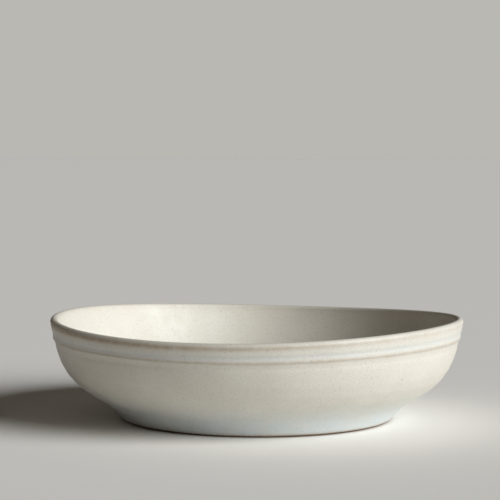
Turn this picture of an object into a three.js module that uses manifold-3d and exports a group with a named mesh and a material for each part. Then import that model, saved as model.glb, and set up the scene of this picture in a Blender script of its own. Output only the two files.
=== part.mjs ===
// Coupe bowl: a wheel-thrown stoneware bowl with a satin glaze. Millimetres, +Z up, foot on Z = 0.
// The clay body, the glaze coat over it and the glaze inside the foot ring are separate solids.

import * as THREE from 'three';
import { mergeVertices } from 'three/addons/utils/BufferGeometryUtils.js';
import Module from 'manifold-3d';

// Clay body: overall sizes
const rimRadius = 109.5;
const rimHeight = 52.1;
const lipThickness = 3.0;
const wallThickness = 5.0;
const floorThickness = 5.0;
const floorRadius = 62;

// Collar below the lip, with its groove and its raised ridge
const collarHeight = 14;
const collarDraw = 3;
const grooveDrop = 7.8;
const grooveWidth = 3.4;
const grooveDepth = 0.55;
const ridgeDrop = 10.8;
const ridgeWidth = 2.6;
const ridgeHeight = 0.7;

// Rounded belly between the collar and the foot
const bellyLeanDegrees = 15;
const bellyTopReach = 18;
const bellyFootRadius = 80.5;
const bellyFootHeight = 9.5;
const bellyFootDegrees = 33;
const bellyFootReach = 12;
const innerShoulderDrop = 10;
const innerHeelSpread = 2.5;

// Foot ring
const footRadius = 71.7;
const footRingWidth = 6;
const footRecess = 2.8;
const footEdgeRadius = 0.6;
const footSweepRadius = 75.6;
const footSweepHeight = 5.6;
const recessFillet = 1.5;

// Glaze
const glazeThickness = 0.5;
const glazeLineHeight = 1.3;
const coatRootDepth = 2;
const baseGlazeMargin = 2.5;

// The rim warped a little in the firing: a saddle that fades out towards the foot
const rimSaddle = 2.05;
const saddleTurnDegrees = -17;
const warpStartHeight = 22;

// Facets
const turns = 60;
const lipSteps = 6;
const collarSteps = 9;
const bellySteps = 8;
const footSteps = 4;
const innerSteps = 9;

const radians = THREE.MathUtils.degToRad;
const point = (radius, height) => new THREE.Vector2(radius, height);

// Radius of the collar at a distance below the top of the lip
function collarRadius(drop) {
  const swell = (centre, width) => {
    const reach = Math.min(Math.abs(drop - centre) / width, 1);
    return 0.5 + 0.5 * Math.cos(Math.PI * reach);
  };
  const slope = (drop - lipThickness / 2) / (collarHeight - lipThickness / 2);
  return rimRadius - collarDraw * slope
    - grooveDepth * swell(grooveDrop, grooveWidth / 2)
    + ridgeHeight * swell(ridgeDrop, ridgeWidth / 2);
}

// Underside: the recess inside the foot ring, the ring's flat face and its rounded outer edge
function footOutline() {
  const ringInner = footRadius - footRingWidth;
  const outline = new THREE.Path();
  outline.moveTo(0, footRecess);
  outline.lineTo(ringInner - recessFillet, footRecess);
  outline.quadraticCurveTo(ringInner, footRecess, ringInner, footRecess - recessFillet);
  outline.lineTo(ringInner + footEdgeRadius, 0);
  outline.lineTo(footRadius - footEdgeRadius, 0);
  outline.lineTo(footRadius, footEdgeRadius);
  return outline.getPoints(3);
}

// Outside wall from the foot up to the collar: a concave sweep, then the full belly
function wallOutline() {
  const bellyTop = point(collarRadius(collarHeight), rimHeight - collarHeight);
  const bellyFoot = point(bellyFootRadius, bellyFootHeight);
  const lean = radians(bellyLeanDegrees);
  const rise = radians(bellyFootDegrees);
  const sweep = new THREE.QuadraticBezierCurve(
    point(footRadius, footEdgeRadius), point(footSweepRadius, footSweepHeight), bellyFoot);
  const belly = new THREE.CubicBezierCurve(
    bellyFoot,
    point(bellyFoot.x + bellyFootReach * Math.cos(rise), bellyFoot.y + bellyFootReach * Math.sin(rise)),
    point(bellyTop.x - bellyTopReach * Math.sin(lean), bellyTop.y - bellyTopReach * Math.cos(lean)),
    bellyTop);
  return [...sweep.getPoints(footSteps).slice(1), ...belly.getPoints(bellySteps).slice(1)];
}

// Collar from the belly up to the lip
function collarOutline() {
  const points = [];
  for (let step = collarSteps - 1; step > 0; step -= 1) {
    const drop = THREE.MathUtils.lerp(lipThickness / 2, collarHeight, step / collarSteps);
    points.push(point(collarRadius(drop), rimHeight - drop));
  }
  return points;
}

// Rounded lip, from the outside over the top to the inside
function lipOutline() {
  const lipRadius = lipThickness / 2;
  const lip = new THREE.EllipseCurve(
    rimRadius - lipRadius, rimHeight - lipRadius, lipRadius, lipRadius, 0, Math.PI);
  return lip.getPoints(lipSteps);
}

// Inside: from the lip down the wall to the flat floor
function insideOutline() {
  const floorHeight = footRecess + floorThickness;
  const inside = new THREE.CubicBezierCurve(
    point(rimRadius - lipThickness, rimHeight - lipThickness / 2),
    point(collarRadius(collarHeight) - wallThickness, rimHeight - collarHeight - innerShoulderDrop),
    point(bellyFootRadius + innerHeelSpread, floorHeight),
    point(floorRadius, floorHeight));
  return [...inside.getPoints(innerSteps).slice(1), point(0, floorHeight)];
}

// Moves an open outline outwards by a thickness; the end on the axis stays on the axis
function thicken(outline, thickness) {
  return outline.map((here, index) => {
    const before = outline[Math.max(index - 1, 0)];
    const after = outline[Math.min(index + 1, outline.length - 1)];
    const along = after.clone().sub(before).normalize();
    const moved = point(here.x + thickness * along.y, here.y - thickness * along.x);
    if (here.x === 0) {
      moved.x = 0;
    }
    return moved;
  });
}

// Height that the firing added at a place round the rim
function warp(x, y, height) {
  const share = THREE.MathUtils.smoothstep(height, warpStartHeight, rimHeight);
  const turn = Math.atan2(y, x) - radians(saddleTurnDegrees);
  return rimSaddle * share * Math.cos(2 * turn);
}

// Turns an outline into a solid of revolution about Z and warps it
function turnSolid(outline) {
  const geometry = new THREE.LatheGeometry(outline, turns);
  geometry.rotateX(Math.PI / 2);
  const positions = geometry.getAttribute('position');
  for (let index = 0; index < positions.count; index += 1) {
    const x = positions.getX(index);
    const y = positions.getY(index);
    const z = positions.getZ(index);
    positions.setZ(index, z + warp(x, y, z));
  }
  return geometry;
}

const wasm = await Module();
wasm.setup();

// The geometry as a manifold-3d solid
function toSolid(geometry) {
  const bare = new THREE.BufferGeometry();
  bare.setAttribute('position', geometry.getAttribute('position'));
  bare.setIndex(geometry.getIndex());
  const welded = mergeVertices(bare, 1e-4);
  const corners = welded.getIndex().array;
  const triangles = [];
  for (let index = 0; index < corners.length; index += 3) {
    const [a, b, c] = corners.slice(index, index + 3);
    if (a !== b && b !== c && c !== a) {
      triangles.push(a, b, c);
    }
  }
  const vertProperties = new Float32Array(welded.getAttribute('position').array);
  const triVerts = new Uint32Array(triangles);
  return new wasm.Manifold(new wasm.Mesh({ numProp: 3, vertProperties, triVerts }));
}

// A manifold-3d solid as geometry
function toGeometry(solid) {
  const mesh = solid.getMesh();
  const geometry = new THREE.BufferGeometry();
  geometry.setAttribute('position', new THREE.BufferAttribute(mesh.vertProperties, 3));
  geometry.setIndex(new THREE.BufferAttribute(mesh.triVerts, 1));
  geometry.computeVertexNormals();
  return geometry;
}

function part(name, geometry, material) {
  const mesh = new THREE.Mesh(geometry, material);
  mesh.name = name;
  return mesh;
}

const clay = new THREE.MeshStandardMaterial({ color: '#a58a70', roughness: 0.85, metalness: 0 });
const glaze = new THREE.MeshStandardMaterial({ color: '#d3cdc1', roughness: 0.35, metalness: 0 });

// Clay body
const coatedWall = [...wallOutline(), ...collarOutline(), ...lipOutline(), ...insideOutline()];
const bodyGeometry = turnSolid([...footOutline(), ...coatedWall]);

// Glaze coat: the dipped shape down to the glaze line, less the body inside it
function glazeCoat() {
  const rootRadius = footRadius - coatRootDepth;
  const rootHeight = footRecess + floorThickness / 2;
  const dipped = thicken([point(footRadius, glazeLineHeight), ...coatedWall], glazeThickness);
  dipped[0].y = glazeLineHeight;
  const outline = [
    point(0, rootHeight),
    point(rootRadius, rootHeight),
    point(rootRadius, glazeLineHeight),
    ...dipped,
  ];
  return toGeometry(toSolid(turnSolid(outline)).subtract(toSolid(bodyGeometry)));
}

// Glaze poured inside the foot ring, short of the ring's inner wall
function baseGlaze() {
  const edge = footRadius - footRingWidth - recessFillet - baseGlazeMargin;
  const outline = new THREE.Path();
  outline.moveTo(0, footRecess - glazeThickness);
  outline.lineTo(edge - glazeThickness, footRecess - glazeThickness);
  outline.quadraticCurveTo(edge, footRecess - glazeThickness, edge, footRecess);
  outline.lineTo(0, footRecess);
  return turnSolid(outline.getPoints(3));
}

const bowl = new THREE.Group();
bowl.name = 'coupe_bowl';
bowl.add(part('stoneware_body', bodyGeometry, clay));
bowl.add(part('glaze_coat', glazeCoat(), glaze));
bowl.add(part('base_glaze', baseGlaze(), glaze));

export default bowl;
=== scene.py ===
import math

import bpy
from mathutils import Matrix, Vector


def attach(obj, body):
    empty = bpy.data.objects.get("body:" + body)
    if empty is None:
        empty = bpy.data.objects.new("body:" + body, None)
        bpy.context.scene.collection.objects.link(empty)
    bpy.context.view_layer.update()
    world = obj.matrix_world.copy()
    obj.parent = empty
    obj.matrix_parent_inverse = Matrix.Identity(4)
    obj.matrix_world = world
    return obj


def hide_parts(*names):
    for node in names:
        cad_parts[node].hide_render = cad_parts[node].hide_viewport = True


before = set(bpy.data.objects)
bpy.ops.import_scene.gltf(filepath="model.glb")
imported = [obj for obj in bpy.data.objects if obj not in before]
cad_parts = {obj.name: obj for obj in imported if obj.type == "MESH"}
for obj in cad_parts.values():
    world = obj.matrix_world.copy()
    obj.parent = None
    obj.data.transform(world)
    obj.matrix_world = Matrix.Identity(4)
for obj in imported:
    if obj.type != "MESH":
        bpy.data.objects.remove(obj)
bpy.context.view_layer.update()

# Sizes in millimetres, as in the part's source, except for a finer collar and a lower glaze line
RIM_RADIUS = 109.5
RIM_HEIGHT = 52.1
LIP_THICKNESS = 3.0
WALL_THICKNESS = 5.0
FLOOR_THICKNESS = 5.0
FLOOR_RADIUS = 62.0
COLLAR_HEIGHT = 14.0
COLLAR_DRAW = 3.0
COLLAR_TAPER = 1.5
GROOVE_DROP = 6.9
GROOVE_WIDTH = 3.6
GROOVE_DEPTH = 0.22
RIDGE_DROP = 9.5
RIDGE_WIDTH = 1.6
RIDGE_HEIGHT = 0.16
BELLY_LEAN = math.radians(15)
BELLY_TOP_REACH = 18.0
BELLY_FOOT_RADIUS = 80.5
BELLY_FOOT_HEIGHT = 9.5
BELLY_RISE = math.radians(33)
BELLY_FOOT_REACH = 12.0
INNER_SHOULDER_DROP = 10.0
INNER_HEEL_SPREAD = 2.5
FOOT_RADIUS = 71.7
FOOT_RING_WIDTH = 6.0
FOOT_RECESS = 2.8
FOOT_EDGE_RADIUS = 0.6
FOOT_SWEEP = (75.6, 5.6)
RECESS_FILLET = 1.5
GLAZE_THICKNESS = 0.5
GLAZE_LINE_HEIGHT = 0.75
GLAZE_ROOT_STANDOFF = 0.15
GLAZE_ROOT_SPREAD = 0.6
GLAZE_ROOT_RISE = 0.3
BASE_GLAZE_MARGIN = 2.5
RIM_SADDLE = 2.05
SADDLE_TURN = math.radians(-17)
WARP_START_HEIGHT = 22.0

# Throwing rings left by the fingers, cut into the glaze surface only
RING_DEPTH = 0.06
RING_SPACING = 5.3

# Light: low from the right-hand front
SUN_STRENGTH = 3.6
SUN_SOFTNESS = math.radians(44)
SUN_ELEVATION = math.radians(25)
SUN_TURN = math.radians(-28)
SKY_STRENGTH = 0.06

# Facets round the bowl and along its outline
TURNS = 240
SWEEP_STEPS = 8
BELLY_STEPS = 26
COLLAR_STEPS = 36
LIP_STEPS = 12
INSIDE_STEPS = 30
FILLET_STEPS = 4
MM = 0.001


def bezier(points, steps):
    """Points along a Bezier curve of any degree, without its first point."""
    result = []
    for step in range(1, steps + 1):
        share = step / steps
        row = [Vector(p) for p in points]
        while len(row) > 1:
            row = [a.lerp(b, share) for a, b in zip(row, row[1:])]
        result.append(row[0])
    return result


def swell(drop, centre, width):
    """A smooth hump of height one, as wide as width."""
    reach = min(abs(drop - centre) / (width / 2), 1)
    return 0.5 + 0.5 * math.cos(math.pi * reach)


def collar_radius(drop):
    """A nearly straight collar that steps in below its ridge to meet the belly."""
    start = LIP_THICKNESS / 2
    taper = COLLAR_TAPER * min((drop - start) / (RIDGE_DROP - start), 1)
    below = max((drop - RIDGE_DROP) / (COLLAR_HEIGHT - RIDGE_DROP), 0)
    step = (COLLAR_DRAW - COLLAR_TAPER) * (1 - (1 - below) ** 1.6)
    groove = GROOVE_DEPTH * swell(drop, GROOVE_DROP, GROOVE_WIDTH)
    ridge = RIDGE_HEIGHT * swell(drop, RIDGE_DROP, RIDGE_WIDTH)
    return RIM_RADIUS - taper - step - groove + ridge


def foot_outline():
    """Underside from its centre to the outer edge of the foot ring."""
    inner = FOOT_RADIUS - FOOT_RING_WIDTH
    fillet_start = (inner - RECESS_FILLET, FOOT_RECESS)
    fillet_end = (inner, FOOT_RECESS - RECESS_FILLET)
    return [
        Vector((0, FOOT_RECESS)),
        Vector(fillet_start),
        *bezier([fillet_start, (inner, FOOT_RECESS), fillet_end], FILLET_STEPS),
        Vector((inner + FOOT_EDGE_RADIUS, 0)),
        Vector((FOOT_RADIUS - FOOT_EDGE_RADIUS, 0)),
        Vector((FOOT_RADIUS, FOOT_EDGE_RADIUS)),
    ]


def wall_outline():
    """Outside from the foot over the lip and down the inside to the floor's centre."""
    top = Vector((collar_radius(COLLAR_HEIGHT), RIM_HEIGHT - COLLAR_HEIGHT))
    low = Vector((BELLY_FOOT_RADIUS, BELLY_FOOT_HEIGHT))
    low_handle = low + BELLY_FOOT_REACH * Vector((math.cos(BELLY_RISE), math.sin(BELLY_RISE)))
    top_handle = top - BELLY_TOP_REACH * Vector((math.sin(BELLY_LEAN), math.cos(BELLY_LEAN)))
    outline = bezier([(FOOT_RADIUS, FOOT_EDGE_RADIUS), FOOT_SWEEP, low], SWEEP_STEPS)
    outline += bezier([low, low_handle, top_handle, top], BELLY_STEPS)
    lip_radius = LIP_THICKNESS / 2
    for step in range(1, COLLAR_STEPS):
        drop = COLLAR_HEIGHT + (lip_radius - COLLAR_HEIGHT) * step / COLLAR_STEPS
        outline.append(Vector((collar_radius(drop), RIM_HEIGHT - drop)))
    centre = Vector((RIM_RADIUS - lip_radius, RIM_HEIGHT - lip_radius))
    for step in range(LIP_STEPS + 1):
        turn = math.pi * step / LIP_STEPS
        outline.append(centre + lip_radius * Vector((math.cos(turn), math.sin(turn))))
    floor = FOOT_RECESS + FLOOR_THICKNESS
    shoulder = Vector((top.x - WALL_THICKNESS, top.y - INNER_SHOULDER_DROP))
    heel = (BELLY_FOOT_RADIUS + INNER_HEEL_SPREAD, floor)
    outline += bezier([outline[-1], shoulder, heel, (FLOOR_RADIUS, floor)], INSIDE_STEPS)
    outline += [Vector((FLOOR_RADIUS * share, floor)) for share in (0.75, 0.5, 0.25, 0.0)]
    return outline


def thicken(outline, thickness):
    """The outline moved outwards; its end on the axis stays on the axis."""
    moved = []
    for index, here in enumerate(outline):
        before = outline[max(index - 1, 0)]
        after = outline[min(index + 1, len(outline) - 1)]
        along = (after - before).normalized()
        place = here + thickness * Vector((along.y, -along.x))
        if here.x == 0:
            place.x = 0
        moved.append(place)
    return moved


def warp(turn, height):
    """Height that the rim's warp adds, in millimetres."""
    share = (height - WARP_START_HEIGHT) / (RIM_HEIGHT - WARP_START_HEIGHT)
    share = min(max(share, 0), 1)
    share = share * share * (3 - 2 * share)
    return RIM_SADDLE * share * math.cos(2 * (turn - SADDLE_TURN))


def finger_rings(turn, height):
    """Faint spiral ribs on the belly, in millimetres."""
    if not BELLY_FOOT_HEIGHT < height < RIM_HEIGHT - COLLAR_HEIGHT:
        return 0
    span = RIM_HEIGHT - COLLAR_HEIGHT - BELLY_FOOT_HEIGHT
    fade = math.sin(math.pi * (height - BELLY_FOOT_HEIGHT) / span)
    return RING_DEPTH * fade * math.sin(2 * math.pi * height / RING_SPACING + turn)


def lip_shade_side(turn):
    """Share of the lip's brown at a turn round the bowl: painted shade, browner on the left side, away
    from the light.
    """
    return 0.12 + 0.88 * (0.5 - 0.5 * math.cos(turn + math.radians(20)))


def glaze_weights(place, outside, turn):
    """How much the glaze breaks to brown at a place, with painted shade on the lip's left side, and how
    much bluish painted reflection it takes.
    """
    height = place.y
    drop = RIM_HEIGHT - height
    if not outside:
        return 0.12 * math.exp(-(drop / 2.5) ** 2), 0.0
    # The lip's brown is the glaze breaking over the rim, made browner towards the left by painted shade
    # on the side away from the light.
    lip = math.exp(-((drop - 2.0) / 1.3) ** 2) * lip_shade_side(turn)
    ridge = 0.4 * math.exp(-((drop - RIDGE_DROP) / 0.7) ** 2)
    foot = 0.6 * math.exp(-((height - GLAZE_LINE_HEIGHT) / 0.6) ** 2)
    # Bluish painted reflection of the pale floor in the groove below the lip and on the low wall near
    # the foot.
    groove = 0.45 * math.exp(-((drop - GROOVE_DROP) / 1.8) ** 2)
    floor_reflection = math.exp(-((height - 5.0) / 10.0) ** 2)
    return min(lip + ridge + foot, 1.0), min(groove + floor_reflection, 1.0)


def turned(name, outline, closed, rings=False):
    """A mesh of revolution about Z from an outline in millimetres, warped like the rim."""
    vertices, faces, broken_and_shaded, painted_reflection = [], [], [], []
    rows = []
    top = max(range(len(outline)), key=lambda index: outline[index].y)
    for index, place in enumerate(outline):
        count = 1 if place.x == 0 else TURNS
        rows.append(range(len(vertices), len(vertices) + count))
        for step in range(count):
            turn = 2 * math.pi * step / TURNS
            radius = place.x + (finger_rings(turn, place.y) if rings and place.x else 0)
            height = place.y + (warp(turn, place.y) if place.x else 0)
            vertices.append((MM * radius * math.cos(turn), MM * radius * math.sin(turn), MM * height))
            broken_and_shaded_here, painted_reflection_here = glaze_weights(place, index <= top, turn)
            broken_and_shaded.append(broken_and_shaded_here)
            painted_reflection.append(painted_reflection_here)
    pairs = list(zip(rows, rows[1:])) + ([(rows[-1], rows[0])] if closed else [])
    for low, high in pairs:
        for step in range(TURNS):
            following = (step + 1) % TURNS
            if len(low) == 1 and len(high) == 1:
                break
            if len(low) == 1:
                faces.append((low[0], high[following], high[step]))
            elif len(high) == 1:
                faces.append((low[step], low[following], high[0]))
            else:
                faces.append((low[step], low[following], high[following], high[step]))
    mesh = bpy.data.meshes.new(name)
    mesh.from_pydata(vertices, [], faces)
    mesh.polygons.foreach_set("use_smooth", [True] * len(faces))
    mesh.attributes.new("broken_and_shaded", "FLOAT", "POINT").data.foreach_set("value", broken_and_shaded)
    mesh.attributes.new("painted_reflection", "FLOAT", "POINT").data.foreach_set("value", painted_reflection)
    piece = bpy.data.objects.new(name, mesh)
    bpy.context.collection.objects.link(piece)
    return piece


def linear(red, green, blue):
    """An sRGB colour from 0 to 255 as linear values with alpha."""
    return tuple(((c / 255 + 0.055) / 1.055) ** 2.4 for c in (red, green, blue)) + (1.0,)


class Nodes:
    """A material's node tree with short calls for what this scene uses."""

    def __init__(self, name):
        self.material = bpy.data.materials.new(name)
        self.material.use_nodes = True
        self.tree = self.material.node_tree
        self.shader = self.tree.nodes["Principled BSDF"]
        self.place = self.tree.nodes.new("ShaderNodeTexCoord").outputs["Object"]

    def link(self, source, target):
        self.tree.links.new(source, target)

    def noise(self, scale, detail=2.0):
        node = self.tree.nodes.new("ShaderNodeTexNoise")
        node.inputs["Scale"].default_value = scale
        node.inputs["Detail"].default_value = detail
        self.link(self.place, node.inputs["Vector"])
        return node.outputs["Fac"]

    def attribute(self, name):
        node = self.tree.nodes.new("ShaderNodeAttribute")
        node.attribute_name = name
        return node.outputs["Fac"]

    def remap(self, source, low, high, out_low, out_high):
        node = self.tree.nodes.new("ShaderNodeMapRange")
        self.link(source, node.inputs["Value"])
        for socket, value in zip(node.inputs[1:5], (low, high, out_low, out_high)):
            socket.default_value = value
        return node.outputs["Result"]

    def multiply(self, first, second):
        node = self.tree.nodes.new("ShaderNodeMath")
        node.operation = "MULTIPLY"
        self.link(first, node.inputs[0])
        self.link(second, node.inputs[1])
        return node.outputs["Value"]

    def mix(self, share, first, second):
        node = self.tree.nodes.new("ShaderNodeMix")
        node.data_type = "RGBA"
        self.link(share, node.inputs["Factor"])
        for socket, value in (("A", first), ("B", second)):
            target = [s for s in node.inputs if s.name == socket and s.type == "RGBA"][0]
            if isinstance(value, tuple):
                target.default_value = value
            else:
                self.link(value, target)
        return [s for s in node.outputs if s.type == "RGBA"][0]

    def bump(self, height, distance, strength):
        node = self.tree.nodes.new("ShaderNodeBump")
        node.inputs["Distance"].default_value = distance
        node.inputs["Strength"].default_value = strength
        self.link(height, node.inputs["Height"])
        self.link(node.outputs["Normal"], self.shader.inputs["Normal"])


def glaze_material():
    """Satin off-white glaze: brown where it breaks over edges, with painted shade on the lip's left
    side, and a bluish painted reflection of the floor in the groove and near the foot.
    """
    nodes = Nodes("satin_glaze")
    cloud = nodes.remap(nodes.noise(45.0, 4.0), 0.35, 0.65, 0.0, 1.0)
    colour = nodes.mix(cloud, linear(224, 220, 209), linear(219, 214, 202))
    # Bluish painted reflection of the pale floor in the groove and on the low wall.
    reflection_share = nodes.multiply(nodes.attribute("painted_reflection"), nodes.remap(nodes.noise(90.0), 0.2, 0.6, 0.5, 1.0))
    colour = nodes.mix(reflection_share, colour, linear(211, 217, 218))
    grain = nodes.remap(nodes.noise(1500.0), 0.55, 0.72, 0.0, 0.32)
    colour = nodes.mix(grain, colour, linear(150, 138, 118))
    fleck = nodes.remap(nodes.noise(420.0), 0.70, 0.76, 0.0, 0.2)
    colour = nodes.mix(fleck, colour, linear(104, 84, 62))
    patches = nodes.remap(nodes.noise(260.0, 4.0), 0.3, 0.6, 0.6, 0.95)
    # Brown where the glaze breaks over the lip, the ridge and the foot; on the lip it also carries
    # painted shade, browner on the left.
    edge = nodes.multiply(nodes.attribute("broken_and_shaded"), patches)
    colour = nodes.mix(edge, colour, linear(142, 108, 58))
    nodes.link(colour, nodes.shader.inputs["Base Color"])
    nodes.link(nodes.remap(nodes.noise(180.0), 0.3, 0.7, 0.44, 0.58), nodes.shader.inputs["Roughness"])
    nodes.bump(nodes.noise(900.0, 3.0), 0.0002, 0.35)
    return nodes.material


def clay_material():
    """Bare fired stoneware, brown with darker and lighter grains."""
    nodes = Nodes("bare_clay")
    cloud = nodes.remap(nodes.noise(70.0, 4.0), 0.35, 0.65, 0.0, 1.0)
    colour = nodes.mix(cloud, linear(138, 112, 86), linear(116, 92, 70))
    grain = nodes.remap(nodes.noise(1100.0), 0.58, 0.68, 0.0, 0.7)
    colour = nodes.mix(grain, colour, linear(92, 68, 50))
    nodes.link(colour, nodes.shader.inputs["Base Color"])
    nodes.link(nodes.remap(nodes.noise(300.0), 0.3, 0.7, 0.78, 0.92), nodes.shader.inputs["Roughness"])
    nodes.bump(nodes.noise(1200.0, 4.0), 0.0003, 0.5)
    return nodes.material


def matt_material(name, colour):
    """A plain matt surface for the floor."""
    nodes = Nodes(name)
    nodes.link(nodes.mix(nodes.noise(3.0), colour, colour), nodes.shader.inputs["Base Color"])
    nodes.shader.inputs["Roughness"].default_value = 0.9
    return nodes.material


def add_bowl():
    """The glaze coat, the clay body and the base glaze, each riding on the part."""
    wall = wall_outline()
    glaze_root = Vector((FOOT_RADIUS + GLAZE_ROOT_STANDOFF, GLAZE_LINE_HEIGHT))
    glazed = [place for place in wall if place.y >= GLAZE_LINE_HEIGHT + GLAZE_ROOT_RISE]
    skin = thicken([glaze_root, *glazed], GLAZE_THICKNESS)
    skin[0] = glaze_root + Vector((GLAZE_THICKNESS * GLAZE_ROOT_SPREAD, 0))
    coat = turned("glaze_surface", [*skin, *reversed([glaze_root, *glazed])], True, rings=True)
    body = turned("clay_body", [*foot_outline(), *wall], False)
    edge = FOOT_RADIUS - FOOT_RING_WIDTH - RECESS_FILLET - BASE_GLAZE_MARGIN
    low = FOOT_RECESS - GLAZE_THICKNESS
    base = turned("base_glaze_skin", [
        Vector((0, low)),
        Vector((edge / 2, low)),
        Vector((edge - GLAZE_THICKNESS, low)),
        *bezier([(edge - GLAZE_THICKNESS, low), (edge, low), (edge, FOOT_RECESS)], FILLET_STEPS),
        Vector((0, FOOT_RECESS)),
    ], False)
    satin = glaze_material()
    clay = clay_material()
    for piece, node, slot, material in (
        (coat, "glaze_coat", "glaze", satin),
        (body, "stoneware_body", "clay", clay),
        (base, "base_glaze", "base_glaze", satin),
    ):
        piece.data.materials.append(material)
        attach(piece, "root")
        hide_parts(node)


def add_window_light():
    """Soft low daylight from the right and a little from the front."""
    light = bpy.data.lights.new("window", "SUN")
    light.energy = SUN_STRENGTH
    light.angle = SUN_SOFTNESS
    light.color = (0.965, 0.988, 1.0)
    lamp = bpy.data.objects.new("window", light)
    towards = Vector((
        math.cos(SUN_ELEVATION) * math.cos(SUN_TURN),
        math.cos(SUN_ELEVATION) * math.sin(SUN_TURN),
        math.sin(SUN_ELEVATION)))
    lamp.rotation_euler = towards.to_track_quat("Z", "Y").to_euler()
    bpy.context.collection.objects.link(lamp)


def add_stage():
    """Pale floor, pale surroundings and soft light from the right."""
    bpy.ops.mesh.primitive_plane_add(size=80.0, location=(0, 0, -0.0002))
    floor = bpy.context.object
    floor.name = "floor"
    floor.data.materials.append(matt_material("pale_floor", linear(250, 248, 243)))
    world = bpy.data.worlds.new("surroundings")
    world.use_nodes = True
    background = world.node_tree.nodes["Background"]
    background.inputs["Color"].default_value = (1.0, 0.86, 0.74, 1.0)
    background.inputs["Strength"].default_value = SKY_STRENGTH
    shown = world.node_tree.nodes.new("ShaderNodeBackground")
    shown.inputs["Color"].default_value = linear(185, 184, 179)
    choice = world.node_tree.nodes.new("ShaderNodeMixShader")
    rays = world.node_tree.nodes.new("ShaderNodeLightPath")
    links = world.node_tree.links
    links.new(rays.outputs["Is Camera Ray"], choice.inputs["Fac"])
    links.new(background.outputs["Background"], choice.inputs[1])
    links.new(shown.outputs["Background"], choice.inputs[2])
    links.new(choice.outputs["Shader"], world.node_tree.nodes["World Output"].inputs["Surface"])
    bpy.context.scene.world = world
    add_window_light()


def add_camera():
    """The photograph's viewpoint, fitted to the rim, the silhouettes and the foot."""
    distance = 0.953
    height = 0.1423
    side = -0.0037
    pitch_down = math.radians(3.172)
    roll = math.radians(0.19)
    focal_in_widths = 1783.9 / 500
    camera = bpy.data.cameras.new("photo_camera")
    camera.sensor_width = 36.0
    camera.lens = focal_in_widths * camera.sensor_width
    holder = bpy.data.objects.new("photo_camera", camera)
    holder.matrix_world = (
        Matrix.Translation((side, -distance, height))
        @ Matrix.Rotation(math.pi / 2 - pitch_down, 4, "X")
        @ Matrix.Rotation(roll, 4, "Z"))
    bpy.context.collection.objects.link(holder)
    bpy.context.scene.camera = holder


add_bowl()
add_stage()
add_camera()
bpy.context.scene.view_settings.view_transform = "Standard"
